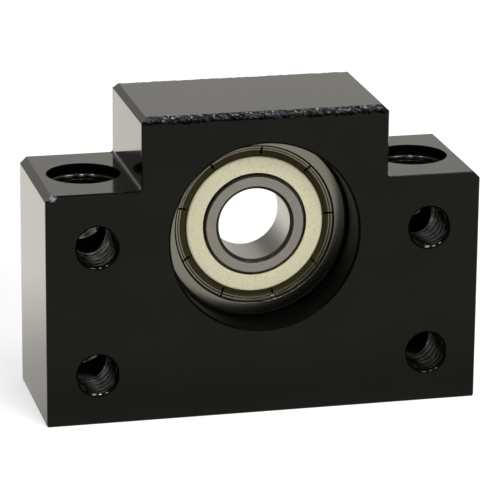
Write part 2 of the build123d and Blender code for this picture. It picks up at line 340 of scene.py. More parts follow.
def close_geometry_tree(tree, geometry, material):
    """Ends a tree in Realize Instances and Set Material."""
    real = tree.add("GeometryNodeRealizeInstances", {"Geometry": geometry})
    painted = tree.add("GeometryNodeSetMaterial", {"Geometry": real, "Material": material})
    tree.node("NodeGroupOutput", {"Geometry": painted})
    return tree.tree


def run_tree(piece, group, values):
    """Runs a tree on a piece once, with its inputs set by identifier, and keeps the plain mesh."""
    modifier = piece.modifiers.new(group.name, "NODES")
    modifier.node_group = group
    for item in group.interface.items_tree:
        if item.in_out == "INPUT" and item.name in values:
            modifier[item.identifier] = values[item.name]
    shown = piece.evaluated_get(bpy.context.evaluated_depsgraph_get())
    mesh = bpy.data.meshes.new_from_object(shown)
    piece.modifiers.remove(modifier)
    piece.data = mesh
    if not len(mesh.polygons):
        raise RuntimeError(f"{group.name} left no faces on {piece.name}")


# Meshes
def new_piece(name, mesh):
    """An object at the origin that shows a mesh."""
    piece = bpy.data.objects.new(name, mesh)
    bpy.context.scene.collection.objects.link(piece)
    return piece


@contextmanager
def reshaping(mesh):
    """A mesh's points, edges and faces, open to changes that the mesh then takes."""
    shape = bmesh.new()
    shape.from_mesh(mesh)
    yield shape
    shape.to_mesh(mesh)
    shape.free()


def closed_mesh(name, shape):
    """A new mesh from a closed shape, with its faces outwards."""
    bmesh.ops.recalc_face_normals(shape, faces=shape.faces)
    mesh = bpy.data.meshes.new(name)
    shape.to_mesh(mesh)
    shape.free()
    return mesh


def merged_copy(node, name):
    """A piece with a CAD node's mesh, its triangles joined."""
    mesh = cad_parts[node].data.copy()
    mesh.name = name
    mesh.materials.clear()
    with reshaping(mesh) as shape:
        bmesh.ops.remove_doubles(shape, verts=shape.verts, dist=MERGE)
    return new_piece(name, mesh)


def arc(centre, radius, start, end, steps):
    """Points on a circle from one angle to another, in radians."""
    turns = [start + (end - start) * step / steps for step in range(steps + 1)]
    return [(centre[0] + radius * math.cos(a), centre[1] + radius * math.sin(a)) for a in turns]


def rounded(corners, steps=4):
    """A closed outline whose corners, each x, y and a radius, are rounded."""
    points = []
    for index, (x, y, radius) in enumerate(corners):
        here = Vector((x, y))
        if radius == 0:
            points.append(here)
            continue
        before = Vector(corners[index - 1][:2]) - here
        after = Vector(corners[(index + 1) % len(corners)][:2]) - here
        before.normalize()
        after.normalize()
        half = before.angle(after) / 2
        reach = radius / math.tan(half)
        centre = here + (before + after).normalized() * (radius / math.sin(half))
        first = here + before * reach - centre
        sweep = first.angle_signed(here + after * reach - centre)
        for step in range(steps + 1):
            turn = Matrix.Rotation(-sweep * step / steps, 2)
            points.append(centre + turn @ first)
    return [tuple(point) for point in points]


def spin(shape, outline, turns, place):
    """Spins a closed outline. place gives a spot from a point's two numbers and a step's angle."""
    loops = []
    for step in range(turns):
        turn = 2 * math.pi * step / turns
        loops.append([shape.verts.new(place(radius, along, turn)) for radius, along in outline])
    for here, there in zip(loops, loops[1:] + loops[:1]):
        for index in range(len(outline)):
            after = (index + 1) % len(outline)
            shape.faces.new((here[index], here[after], there[after], there[index]))


def lathe(name, outline, turns):
    """A closed outline, each point a radius and a place along Y, spun round the bearing's axis."""
    shape = bmesh.new()
    spin(shape, outline, turns, lambda radius, along, turn: (
        radius * math.cos(turn), along, AXIS_HEIGHT + radius * math.sin(turn)))
    return closed_mesh(name, shape)


def drop_chips(shape, least=20):
    """Deletes the loose chips that a cut has left, which have fewer points than least."""
    left = set(shape.verts)
    while left:
        part = []
        found = [left.pop()]
        while found:
            vert = found.pop()
            part.append(vert)
            near = left & {edge.other_vert(vert) for edge in vert.link_edges}
            left -= near
            found.extend(near)
        if len(part) < least:
            bmesh.ops.delete(shape, geom=part, context="VERTS")


def join_flats(mesh, limit=0.2):
    """Drops loose chips and dissolves the edges inside faces that are flat to limit degrees."""
    with reshaping(mesh) as shape:
        drop_chips(shape)
        bmesh.ops.dissolve_limit(shape, angle_limit=math.radians(limit), verts=shape.verts,
                                 edges=shape.edges)


def shade(mesh, smooth=14.0, blend=50.0):
    """Gives wide faces their own normals and lets narrow ones blend from one wide face to the next.

    smooth and blend are the largest angles, in degrees, between two faces that share a normal.
    """
    faces = mesh.polygons
    faces.foreach_set("use_smooth", [True] * len(faces))
    normals = [face.normal.copy() for face in faces]
    handy = 1e16
    weights = [face.area ** 2 * handy for face in faces]
    narrow = []
    around = [[] for _ in mesh.vertices]
    for face in faces:
        points = [mesh.vertices[v].co for v in face.vertices]
        rim = sum((points[i] - points[i - 1]).length for i in range(len(points)))
        narrow.append(2 * face.area / rim < NARROW if rim else True)
        for v in face.vertices:
            around[v].append(face.index)
    close = math.cos(math.radians(smooth))
    wide = math.cos(math.radians(blend))
    corners = [None] * len(mesh.loops)
    for face in faces:
        own = normals[face.index]
        limit = wide if narrow[face.index] else close
        for loop in face.loop_indices:
            total = Vector()
            for other in around[mesh.loops[loop].vertex_index]:
                if own.dot(normals[other]) > limit:
                    total += normals[other] * weights[other]
            corners[loop] = total.normalized() if total.length > 0 else own
    mesh.normals_split_custom_set(corners)


def paint(mesh, material, test):
    """Gives a material to the faces whose middle passes a test.

    The test takes the middle's distance from the bearing's axis and its place along Y.
    """
    mesh.materials.append(material)
    for face in mesh.polygons:
        x, along, z = face.center
        if test(math.hypot(x, z - AXIS_HEIGHT), along):
            face.material_index = len(mesh.materials) - 1


def dress(piece, body, slot, *nodes):
    """Puts a finished piece on its body and hides the CAD nodes that it stands for; slot is not used.
    """
    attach(piece, body)
    if nodes:
        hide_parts(*nodes)


# Materials
def new_material(name):
    """An empty material, its tree and its shader."""
    material = bpy.data.materials.new(name)
    material.use_nodes = True
    return material, Tree(material.node_tree), material.node_tree.nodes["Principled BSDF"]


def mottled(name, tone, dark, scale, detail, stops, roughness, **inputs):
    """A finish whose tone and roughness vary in small clouds.

    dark is the darkest share of the tone, stops are where the change from it starts and ends, and
    roughness is a lowest and a highest value. inputs are more of the shader's own values.
    """
    material, tree, shader = new_material(name)
    cloud = tree.noise(tree.spot(), scale, detail)
    low = [value * dark for value in tone]
    tree.set(shader, {"Base Color": tree.ramp(cloud, low, tone, *stops),
                      "Roughness": tree.ranged(cloud, *roughness), **inputs})
    return material, tree, shader


def about(value, part):
    """The range from a part below a value to the same part above it."""
    return value * (1 - part), value * (1 + part)


def blackened_steel(settings):
    """Ground steel under a glossy black oxide."""
    material, tree, shader = new_material("blackened_steel")
    spot = tree.spot()
    cloud = tree.noise(spot, scale=120.0, detail=5.0)
    drawn = tree.add("ShaderNodeMapping", {"Vector": spot, "Scale": (60.0, 900.0, 2600.0)})
    grain = tree.noise(drawn, scale=1.0, detail=3.0)
    bump = tree.add("ShaderNodeBump", {"Strength": 0.02, "Distance": 0.00002, "Height": grain})
    tree.set(shader, {
        "Base Color": tree.ramp(cloud, settings.oxide, settings.oxide_worn, start=0.35, end=0.9),
        "Roughness": tree.ranged(grain, *about(settings.roughness, part=0.3)), "Normal": bump,
        "IOR": 1.29, "Coat Weight": 1.0, "Coat Roughness": 0.06, "Coat IOR": 1.29})
    return material


def rough_steel(name, tone, roughness, ior, contrast=0.4, metallic=0.0, painted_shade=None):
    """Steel that a tool has left rough, blackened or bare.

    Given two heights, it paints shade: colour and gloss darken from the higher to the lower, and the
    colour is a little lighter at the higher, a painted highlight.
    """
    material, tree, shader = mottled(
        name, tone, dark=1 - contrast, scale=1400.0, detail=3.0, stops=(0.4, 0.6),
        roughness=about(roughness, part=0.2), IOR=ior, Metallic=metallic)
    # Painted shade and painted highlight by height
    if painted_shade:
        dim, bright = 0.06, 1.1
        part = tree.ranged(tree.parts(tree.spot())["Z"], dim, bright, *painted_shade)
        shown = shader.inputs["Base Color"].links[0].from_socket
        shaded_tone = tree.vector("MULTIPLY", shown, tree.triple(part, part, part))
        tree.set(shader, {"Base Color": shaded_tone, "Specular IOR Level": tree.math("MULTIPLY", part, 0.5)})
    return material


def ring_steel(steel, name, grain, roughness, metallic=1.0):
    """Ground bearing steel with fine marks round the bearing's axis."""
    material, tree, shader = new_material(name)
    spot = tree.spot()
    centred = tree.add("ShaderNodeMapping", {"Vector": spot, "Location": (0, 0, -AXIS_HEIGHT)})
    parts = tree.parts(centred)
    distance = tree.vector("LENGTH", tree.triple(parts["X"], 0.0, parts["Z"]))
    marks = tree.noise(tree.triple(distance, parts["Y"], 0.0), scale=9000.0, detail=2.0)
    cloud = tree.noise(spot, scale=500.0, detail=4.0)
    mixed = tree.math("ADD", tree.math("MULTIPLY", marks, 0.6), tree.math("MULTIPLY", cloud, 0.4))
    dark = [value * 0.86 for value in steel]
    tangent = tree.add("ShaderNodeTangent", direction_type="RADIAL", axis="Y")
    tree.set(shader, {
        "Base Color": tree.ramp(mixed, dark, steel, start=0.3, end=0.7), "Metallic": metallic,
        "Roughness": tree.ranged(mixed, *about(roughness, part=0.15)), "Anisotropic": grain,
        "Tangent": tangent})
    return material


def shield_sheet(settings):
    """Pale khaki plated sheet with fine specks."""
    material, tree, shader = new_material("shield_sheet")
    spot = tree.spot()
    specks = tree.noise(spot, scale=4000.0, detail=3.0)
    cloud = tree.noise(spot, scale=300.0, detail=3.0)
    bump = tree.add("ShaderNodeBump", {"Strength": 0.1, "Distance": 0.00001, "Height": specks})
    tree.set(shader, {
        "Base Color": tree.ramp(specks, settings.speck, settings.sheet, start=0.3, end=0.5),
        "Roughness": tree.ranged(cloud, *about(settings.roughness, part=0.1)),
        "Metallic": 0.2, "Normal": bump})
    return material


def pressed_sheet(name, tone, roughness, metallic=1.0):
    """Plain pressed sheet, slightly mottled: burnished on the cage, while the shields' groove and bead
    use it for painted shade and a painted highlight.
    """
    return mottled(name, tone, dark=0.8, scale=900.0, detail=4.0, stops=(0.3, 0.7),
                   roughness=about(roughness, part=0.2), Metallic=metallic)[0]


def ball_steel(tone):
    """Polished ball steel."""
    return mottled("ball_steel", tone, dark=0.94, scale=1500.0, detail=2.0, stops=(0.4, 0.6),
                   roughness=(0.04, 0.09), Metallic=1.0)[0]


# The block
def ridge_tree():
    """Spiral drill marks cut into the walls of a grid of holes that run along Y."""
    tree, given = new_geometry_tree("Spiral marks", {
        "Spacing": 0.046, "Rise": 0.018, "Lowest": 0.007, "Radius": 0.00275, "Start": -0.009,
        "Length": 0.006, "Pitch": 0.0015, "Depth": 0.0001, "Width": 0.0008, "Wander": 0.0001,
        "Seed": 1, "Material": None})
    turns = tree.math("DIVIDE", given["Length"], given["Pitch"])
    spiral = tree.add("GeometryNodeCurveSpiral", {
        "Resolution": 40, "Rotations": turns, "Start Radius": given["Radius"],
        "End Radius": given["Radius"], "Height": given["Length"]})
    spot = tree.add("GeometryNodeInputPosition")
    noise = tree.node("ShaderNodeTexNoise", {"Vector": spot, "Scale": 480.0, "Detail": 2.0})
    sway = tree.vector("SUBTRACT", noise["Color"], (0.5, 0.5, 0.5))
    shift = tree.add("ShaderNodeVectorMath", {0: sway, "Scale": given["Wander"]}, operation="SCALE")
    uneven = tree.add("GeometryNodeSetPosition", {"Geometry": spiral, "Offset": shift})
    upright = tree.add("GeometryNodeSetCurveNormal", {"Curve": uneven}, mode="Z_UP")
    circle = tree.add("GeometryNodeCurvePrimitiveCircle", {"Resolution": 6, "Radius": 1.0})
    half = tree.math("MULTIPLY", given["Width"], 0.5)
    groove = tree.moved(circle, scale=tree.triple(given["Depth"], half, 1.0))
    cutter = tree.add("GeometryNodeCurveToMesh", {
        "Curve": upright, "Profile Curve": groove, "Fill Caps": True})
    laid = tree.moved(cutter, tree.triple(0.0, given["Start"], 0.0), (-math.pi / 2, 0.0, 0.0))
    grid = tree.add("GeometryNodeMeshGrid", {
        "Size X": given["Spacing"], "Size Y": given["Rise"], "Vertices X": 2, "Vertices Y": 2})
    middle = tree.math("ADD", given["Lowest"], tree.math("MULTIPLY", given["Rise"], 0.5))
    holes = tree.moved(grid, tree.triple(0.0, 0.0, middle), (math.pi / 2, 0.0, 0.0))
    start = tree.add("FunctionNodeRandomValue", {
        "Min": (0.0, 0.0, 0.0), "Max": (0.0, 6.283, 0.0), "Seed": given["Seed"]},
        data_type="FLOAT_VECTOR")
    marks = tree.copies(holes, laid, start)
    return close_geometry_tree(tree, tree.cut(given["Geometry"], marks), given["Material"])


def chatter_tree():
    """A rough cut along the hump's front and rear top edges, by a slab with a torn underside."""
    tree, given = new_geometry_tree("Rough cut", {
        "Length": 0.0346, "Chamfer": 0.00075, "Top": 0.0424, "Reach": 0.01, "Depth": 0.0001,
        "Stroke": 0.0008, "Seed": 1, "Material": None})
    wide, tall = 0.002, 0.0012
    slant, squeeze, least, gain = 0.9, 0.7, 0.36, 3.0
    underside = 1e-5
    slab = tree.add("GeometryNodeMeshCube", {
        "Size": tree.triple(given["Length"], wide, tall),
        "Vertices X": 300, "Vertices Y": 17, "Vertices Z": 2})
    raised = tree.moved(slab, (0.0, 0.0, tall / 2))
    parts = tree.parts(tree.add("GeometryNodeInputPosition"))
    lean = tree.math("ADD", parts["X"], tree.math("MULTIPLY", parts["Y"], slant))
    squeezed = tree.math("MULTIPLY", parts["Y"], squeeze)
    streaks = tree.vector("DIVIDE", tree.triple(lean, squeezed, 0.0),
                          tree.triple(given["Stroke"], given["Stroke"], 1.0))
    noise = tree.add("ShaderNodeTexNoise", {
        "Vector": streaks, "W": tree.math("MULTIPLY", given["Seed"], 3.7), "Scale": 1.6,
        "Detail": 3.0, "Roughness": 0.62}, noise_dimensions="4D")
    rough = tree.math("MAXIMUM", tree.math("SUBTRACT", noise, least), 0.0)
    deep = tree.math("MULTIPLY", tree.math("MULTIPLY", rough, given["Depth"]), -gain)
    low = tree.add("FunctionNodeCompare", {"A": parts["Z"], "B": underside}, operation="LESS_THAN")
    torn = tree.add("GeometryNodeSetPosition", {
        "Geometry": raised, "Selection": low, "Offset": tree.triple(0.0, 0.0, deep)})
    half = tree.math("MULTIPLY", given["Chamfer"], 0.5)
    edge = tree.triple(0.0, tree.math("SUBTRACT", half, given["Reach"]),
                       tree.math("SUBTRACT", given["Top"], half))
    front = tree.moved(torn, edge, (math.pi / 4, 0.0, 0.0))
    rear = tree.moved(front, turn=(0.0, 0.0, math.pi))
    cut = tree.cut(tree.cut(given["Geometry"], front), rear)
    return close_geometry_tree(tree, cut, given["Material"])


def carve(piece, mesh, operation):
    """Joins a piece with a mesh or cuts the mesh out of it."""
    tool = new_piece(mesh.name, mesh)
    change = piece.modifiers.new(mesh.name, "BOOLEAN")
    change.object = tool
    change.operation = operation
    change.solver = "MANIFOLD"
    shown = piece.evaluated_get(bpy.context.evaluated_depsgraph_get())
    piece.data = bpy.data.meshes.new_from_object(shown)
    piece.modifiers.remove(change)
    bpy.data.objects.remove(tool)


def shoulder_corner(settings):
    """The left shoulder's front corner."""
    return Vector((BLOCK_LOW.x + settings.shoulder_cut, BLOCK_LOW.y, settings.shoulder))


def cut_nick(piece, settings):
    """Chips the left shoulder's front corner with an uneven ball."""
    shape = bmesh.new()
    bmesh.ops.create_icosphere(shape, subdivisions=3, radius=settings.nick)
    swing = 0.12
    for vert in shape.verts:
        x, y, z = (value * waves for value, waves in zip(vert.co, (9000, 7000, 5000)))
        wave = math.sin(x) * math.cos(y + z)
        vert.co *= 1 + swing * wave
    shift = Vector((-0.06, -0.36, 0.34))
    middle = shoulder_corner(settings) + shift * settings.nick
    squash = Matrix.Diagonal((0.82, 1, 1.1, 1))
    bmesh.ops.transform(shape, matrix=Matrix.Translation(middle) @ squash, verts=shape.verts)
    carve(piece, closed_mesh("nick", shape), "DIFFERENCE")


def round_corners(piece, settings):
    """Rounds the corner between the wall and the floor of each counterbore."""
    floor = settings.shoulder - settings.counterbore_depth
    size = settings.corner
    bury = 0.1 * MM
    wall = settings.counterbore
    curve = arc((wall - size, floor + size), size, -math.pi / 2, 0, steps=6)
    outside = [(wall + bury, floor + size), (wall + bury, floor - bury)]
    outline = [(wall - size, floor - bury)] + curve + outside
    shape = bmesh.new()
    for middle in (-settings.hole_spacing / 2, settings.hole_spacing / 2):
        spin(shape, outline, settings.corner_steps, lambda radius, height, turn: (
            middle + radius * math.cos(turn), radius * math.sin(turn), height))
    carve(piece, closed_mesh("corners", shape), "UNION")


def split_flats(mesh):
    """Splits the top, front and rear beside the rough cut, so that no sliver crosses them."""
    flat, large = 0.9999, 1e-5
    deep = BLOCK_HIGH.y - STRIP
    lines = (((0, deep, 0), (0, 1, 0), 2), ((0, -deep, 0), (0, 1, 0), 2),
             ((0, 0, BLOCK_HIGH.z - STRIP), (0, 0, 1), 1))
    with reshaping(mesh) as shape:
        for line, upright, facing in lines:
            flats = [face for face in shape.faces
                     if abs(face.normal[facing]) > flat and face.calc_area() > large]
            parts = set(flats)
            for face in flats:
                parts.update(face.edges, face.verts)
            bmesh.ops.bisect_plane(
                shape, geom=list(parts), dist=MERGE, plane_co=line, plane_no=upright)


def paint_cuts(mesh, finishes, settings):
    """Gives the bored, drilled, torn and bare finishes, and the counterbores' corners their painted
    highlight, to the faces that the cuts left.
    """
    first = len(mesh.materials)
    for material in finishes:
        mesh.materials.append(material)
    bored, drilled, torn, bare, worn = range(first, first + len(finishes))
    margin = 0.01 * MM
    bore = BEARING_RADIUS + settings.bore_rim + margin
    sunk = settings.counterbore + margin
    floor = settings.shoulder - settings.counterbore_depth
    heights = (settings.hole_low, settings.hole_low + settings.hole_rise)
    hole = settings.hole_radius + settings.ridge_depth + margin
    low = BLOCK_HIGH.z - settings.chamfer - MARGIN
    deep = BLOCK_HIGH.y - settings.chamfer - MARGIN
    corner = shoulder_corner(settings)
    for face in mesh.polygons:
        points = [mesh.vertices[index].co for index in face.vertices]
        asides = [abs(p.x) - settings.hole_spacing / 2 for p in points]
        drops = [min(abs(p.z - height) for height in heights) for p in points]
        reach = [math.hypot(aside, p.y) for aside, p in zip(asides, points)]
        in_hole = max(math.hypot(*pair) for pair in zip(asides, drops)) < hole
        in_sink = max(reach) < sunk and min(p.z for p in points) > floor - margin
        in_corner = (in_sink and min(reach) > settings.counterbore - settings.corner - margin
                     and max(p.z for p in points) < floor + settings.corner + margin)
        in_bore = max(math.hypot(p.x, p.z - AXIS_HEIGHT) for p in points) < bore
        on_hump = face.center.z > low and abs(face.center.y) > deep
        in_nick = max((p - corner).length for p in points) < settings.nick
        # The counterbores' corners get the painted highlight
        if in_corner:
            face.material_index = worn
        elif in_bore or in_sink:
            face.material_index = bored
        elif in_hole:
            face.material_index = drilled
        elif on_hump:
            face.material_index = torn
        elif in_nick:
            face.material_index = bare


class SUPPORT_OT_block(bpy.types.Operator):
    """Makes the blackened block with its tool marks"""
    bl_idname = "support.block"
    bl_label = "Block"

    def execute(self, context):
        settings = context.scene.support_block
        material = blackened_steel(settings)
        block = merged_copy("housing", "block")
        cut_nick(block, settings)
        round_corners(block, settings)
        marks = ridge_tree()
        front = BLOCK_LOW.y + settings.ridge_inset
        rear = BLOCK_HIGH.y - settings.ridge_inset - settings.ridge_length
        for start, seed in ((front, settings.seed), (rear, settings.seed + 1)):
            run_tree(block, marks, {
                "Spacing": settings.hole_spacing, "Rise": settings.hole_rise,
                "Lowest": settings.hole_low, "Radius": settings.hole_radius, "Start": start,
                "Length": settings.ridge_length, "Pitch": settings.ridge_pitch,
                "Depth": settings.ridge_depth, "Width": settings.ridge_width,
                "Wander": settings.ridge_wander, "Seed": seed, "Material": material})
        run_tree(block, chatter_tree(), {
            "Length": settings.chatter_length, "Chamfer": settings.chamfer, "Top": BLOCK_HIGH.z,
            "Reach": BLOCK_HIGH.y, "Depth": settings.chatter_depth, "Stroke": settings.chatter_size,
            "Seed": settings.seed, "Material": material})
        join_flats(block.data)
        finishes = (
            rough_steel("bored_steel", settings.bored, settings.bored_roughness, 1.17),
            rough_steel("drilled_steel", settings.drilled, settings.drilled_roughness, 2.0),
            # The torn band gets painted shade towards the chamfer's lower edge and a painted highlight
            # at its top edge
            rough_steel("torn_steel", settings.torn, settings.torn_roughness, 1.75, contrast=0.85,
                        painted_shade=(BLOCK_HIGH.z - settings.chamfer, BLOCK_HIGH.z)),
            # Bare steel in the nick, partly a painted highlight
            rough_steel("bare_steel", settings.bare, settings.torn_roughness, 1.45, contrast=0.9),
            # Painted highlight on the counterbores' corners
            rough_steel("worn_steel", settings.worn, settings.worn_roughness, 1.5, metallic=0.8))
        paint_cuts(block.data, finishes, settings)
        split_flats(block.data)
        shade(block.data)
        dress(block, "block", "blackened_steel", "housing")
        return {"FINISHED"}


# The rings
def ring_outline(half, centre, radius, land, side):
    """A ring's closed outline from the corners of its one half, each with a radius.

    The raceway's groove runs from one land edge to the other, side +1 opening inwards.
    """
    reach = math.acos(side * (land - centre) / radius)
    start = -reach if side > 0 else math.pi + reach
    end = reach if side > 0 else math.pi - reach
    back = [(out, -along, bend) for out, along, bend in reversed(half)]
    return arc((centre, 0.0), radius, start, end, steps=30) + rounded(half + back)


def outer_ring_outline(settings):
    """The outer ring's closed outline."""
    centre = settings.pitch_radius - settings.race_pitch
    land = settings.outer_land
    cut = settings.outer_chamfer
    small = settings.edge_round
    lip = HALF_BEARING - settings.mouth_thickness
    slope = settings.seat_radius - settings.mouth_radius
    crisp, soft = 0.04 * MM, 0.05 * MM
    half = [(land, settings.seat_floor, crisp),
            (settings.seat_radius, settings.seat_floor, soft),
            (settings.seat_radius, lip - slope, 0.0),
            (settings.mouth_radius, lip, 0.0),
            (settings.mouth_radius, HALF_BEARING, small),
            (BEARING_RADIUS - cut, HALF_BEARING, small),
            (BEARING_RADIUS, HALF_BEARING - cut, small)]
    return ring_outline(half, centre, settings.race_radius, land, 1)


def inner_ring_outline(settings):
    """The inner ring's closed outline."""
    centre = settings.pitch_radius + settings.race_pitch
    cut = settings.bore_chamfer
    small = settings.edge_round
    step = HALF_BEARING - settings.inner_step
    crisp, soft = 0.05 * MM, 0.08 * MM
    half = [(settings.inner_land, step, soft),
            (settings.inner_face, step, crisp),
            (settings.inner_face, HALF_BEARING, settings.face_round),
            (settings.bore + cut, HALF_BEARING, small),
            (settings.bore, HALF_BEARING - cut, small)]
    return ring_outline(half, centre, settings.race_radius, settings.inner_land, -1)


class SUPPORT_OT_rings(bpy.types.Operator):
    """Makes the bearing's outer and inner rings"""
    bl_idname = "support.rings"
    bl_label = "Bearing rings"

    def execute(self, context):
        settings = context.scene.support_rings
        grain = settings.grain
        rings = []
        for name, outline, steel, roughness in (
                ("outer_ring", outer_ring_outline, settings.outer_steel, settings.roughness),
                ("inner_ring", inner_ring_outline, settings.inner_steel, settings.inner_roughness)):
            ring = new_piece(name, lathe(name, outline(settings), settings.turns))
            ring.data.materials.append(ring_steel(steel, name + "_steel", grain, roughness))
            rings.append(ring)
        outer, inner = rings
        # Painted shade for the rings' chamfers and the inner ring's step
        cut = ring_steel(settings.cut_steel, "cut_ring_steel", grain, settings.inner_roughness, 0.7)
        bore = ring_steel(settings.bore_steel, "bore_steel", grain, settings.bore_roughness)
        outside = BEARING_RADIUS - settings.outer_chamfer
        inside = settings.bore + settings.bore_chamfer
        deep = HALF_BEARING - settings.outer_chamfer
        # Painted shade on the outer ring's outside chamfers, then on the inner ring's bore chamfers,
        # outer edge and step
        paint(outer.data, cut, lambda radius, along: radius > outside and abs(along) > deep)
        step = HALF_BEARING - settings.inner_step - settings.edge_round
        wall = settings.inner_face - 0.6 * settings.face_round
        paint(inner.data, cut, lambda radius, along: (radius < inside and abs(along) > deep
                                                      or radius > wall and abs(along) > step))
        paint(inner.data, bore, lambda radius, along: radius < inside and abs(along) < deep)
        for ring in rings:
            shade(ring.data)
        dress(outer, "block", "ring_steel", "bearing_outer_ring")
        dress(inner, "inner_ring", "ring_steel", "bearing_inner_ring")
        return {"FINISHED"}


# The shields
def shield_outline(settings, side):
    """The closed outline of a shield at side -1, the front, or +1, the rear."""
    sheet = settings.thickness
    flat = settings.face
    floor = flat - settings.groove_depth
    low = floor - sheet
    step = settings.flat_radius
    lip = floor + settings.lip_height
    crest = floor + settings.bead_height
    start = settings.lip_radius
    end = start + settings.lip_width
    rise = end + settings.crease
    crease = floor + 0.04 * MM
    crisp, soft, round_, bent = 0.03 * MM, 0.05 * MM, 0.08 * MM, 0.1 * MM
    corners = [(settings.bore, flat, settings.bore_round), (step, flat, settings.flat_round),
               (step + 0.02 * MM, floor + settings.groove_slope, settings.foot_round),
               (start, floor, crisp), (start + settings.lip_slope, lip, soft), (end, lip, crisp),
               (end + 0.01 * MM, crease, 0.0), (rise, crease, 0.0),
               (rise + 0.03 * MM, crest, round_), (settings.bead_radius, crest, round_),
               (settings.bead_end, floor, 0.0), (settings.rim_radius, floor, 0.0),
               (settings.rim_radius, low, crisp), (step - sheet, low, bent),
               (step - sheet, flat - sheet, bent), (settings.bore, flat - sheet, soft)]
    return [(radius, along * side) for radius, along in rounded(corners)]


def slit_tree():
    """Slits cut through the rim of a shield, evenly spaced round the bearing's axis."""
    tree, given = new_geometry_tree("Rim slits", {
        "Slits": 9, "First": 0.0, "Width": 0.0003, "Start": 0.0099, "End": 0.0116,
        "Height": 0.025, "Material": None})
    through = 0.02
    reach = tree.math("SUBTRACT", given["End"], given["Start"])
    slab = tree.add("GeometryNodeMeshCube", {"Size": tree.triple(reach, through, given["Width"])})
    out = tree.math("ADD", given["Start"], tree.math("MULTIPLY", reach, 0.5))
    cutter = tree.moved(slab, tree.triple(out, 0.0, 0.0))
    line = tree.add("GeometryNodeMeshLine", {"Count": given["Slits"], "Offset": (0.0, 0.0, 0.0)})
    centre = tree.moved(line, tree.triple(0.0, 0.0, given["Height"]))
    index = tree.add("GeometryNodeInputIndex")
    step = tree.math("DIVIDE", 2 * math.pi, given["Slits"])
    turn = tree.math("ADD", given["First"], tree.math("MULTIPLY", index, step))
    turned = tree.triple(0.0, tree.math("MULTIPLY", turn, -1.0), 0.0)
    slits = tree.copies(centre, cutter, turned)
    return close_geometry_tree(tree, tree.cut(given["Geometry"], slits), given["Material"])


class SUPPORT_OT_shields(bpy.types.Operator):
    """Makes the two pressed shields with their slit rims"""
    bl_idname = "support.shields"
    bl_label = "Shields"

    def execute(self, context):
        settings = context.scene.support_shields
        material = shield_sheet(settings)
        # Painted shade over the groove and the rim
        groove_shade = pressed_sheet("shield_groove", settings.groove_shade, settings.groove_shade_roughness, 0.5)
        # Painted highlight for the crests
        bead = pressed_sheet("shield_bead", settings.bead, settings.bead_roughness)
        edge = settings.flat_radius - 0.04 * MM
        lip = settings.face - settings.groove_depth + 0.6 * settings.lip_height
        group = slit_tree()
        for name, side in (("shield_front", -1), ("shield_rear", 1)):
            mesh = lathe(name, shield_outline(settings, side), context.scene.support_rings.turns)
            shield = new_piece(name + "_plate", mesh)
            run_tree(shield, group, {
                "Slits": settings.slits, "First": settings.first_slit, "Width": settings.slit_width,
                "Start": settings.slit_start, "End": settings.slit_end, "Height": AXIS_HEIGHT,
                "Material": material})
            # Painted shade on everything beyond the flat
            paint(shield.data, groove_shade, lambda radius, along: radius > edge)
            # Painted highlight on the lip's and the bead's crests
            paint(shield.data, bead, lambda radius, along: (
                settings.lip_radius < radius < settings.bead_radius and abs(along) > lip))
            shade(shield.data)
            dress(shield, "block", "shield_steel", name)
        return {"FINISHED"}


# The cage and the balls
def rivet_mesh(settings):
    """One rivet along Y with two domed heads."""
    half = settings.thickness
    rise = settings.head_height
    dome = (settings.head ** 2 + rise ** 2) / (2 * rise)
    sweep = math.asin(settings.head / dome)
    top = half + rise - dome
    cap = arc((0.0, top), dome, math.pi / 2, math.pi / 2 - sweep, steps=6)[1:]
    side = [(0.0, half + rise)] + cap + [(settings.shank, half)]
    outline = side + [(radius, -along) for radius, along in reversed(side)]
    shape = bmesh.new()
    verts = [shape.verts.new((radius, along, 0.0)) for radius, along in outline]
    edges = [shape.edges.new(pair) for pair in zip(verts, verts[1:])]
    bmesh.ops.spin(shape, geom=verts + edges, axis=(0, 1, 0), cent=(0, 0, 0), angle=2 * math.pi,
                   steps=settings.rivet_steps, use_duplicate=False)
    bmesh.ops.remove_doubles(shape, verts=shape.verts, dist=MERGE)
    return closed_mesh("rivet", shape)


def rivet_tree():
    """A rivet set evenly round the bearing's axis."""
    tree, given = new_geometry_tree("Rivets", {
        "Count": 7, "Circle": 0.009, "First": 0.0, "Height": 0.025, "Material": None})
    circle = tree.add("GeometryNodeMeshCircle", {
        "Vertices": given["Count"], "Radius": given["Circle"]})
    turned = tree.moved(circle, turn=tree.triple(0.0, 0.0, given["First"]))
    upright = tree.moved(turned, tree.triple(0.0, 0.0, given["Height"]), (math.pi / 2, 0.0, 0.0))
    return close_geometry_tree(tree, tree.copies(upright, given["Geometry"]), given["Material"])


def finish_node(name, material):
    """Gives a CAD node its one material."""
    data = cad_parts[name].data
    data.materials.clear()
    data.materials.append(material)


class SUPPORT_OT_cage(bpy.types.Operator):
    """Finishes the pressed cage and makes its rivets"""
    bl_idname = "support.cage"
    bl_label = "Cage and rivets"

    def execute(self, context):
        settings = context.scene.support_cage
        material = pressed_sheet("cage_sheet", settings.sheet, 0.375)
        for name in ("cage_front", "cage_rear"):
            finish_node(name, material)
        rivets = new_piece("rivets", rivet_mesh(settings))
        run_tree(rivets, rivet_tree(), {
            "Count": len(BALLS), "Circle": settings.pitch_radius, "First": settings.first_rivet,
            "Height": AXIS_HEIGHT, "Material": material})
        shade(rivets.data, smooth=30.0)
        dress(rivets, "cage", "cage_steel", "cage_rivets")
        return {"FINISHED"}


class SUPPORT_OT_balls(bpy.types.Operator):
    """Finishes the polished balls"""
    bl_idname = "support.balls"
    bl_label = "Balls"

    def execute(self, context):
        material = ball_steel(context.scene.support_cage.ball)
        for name in BALLS:
            finish_node(name, material)
        return {"FINISHED"}


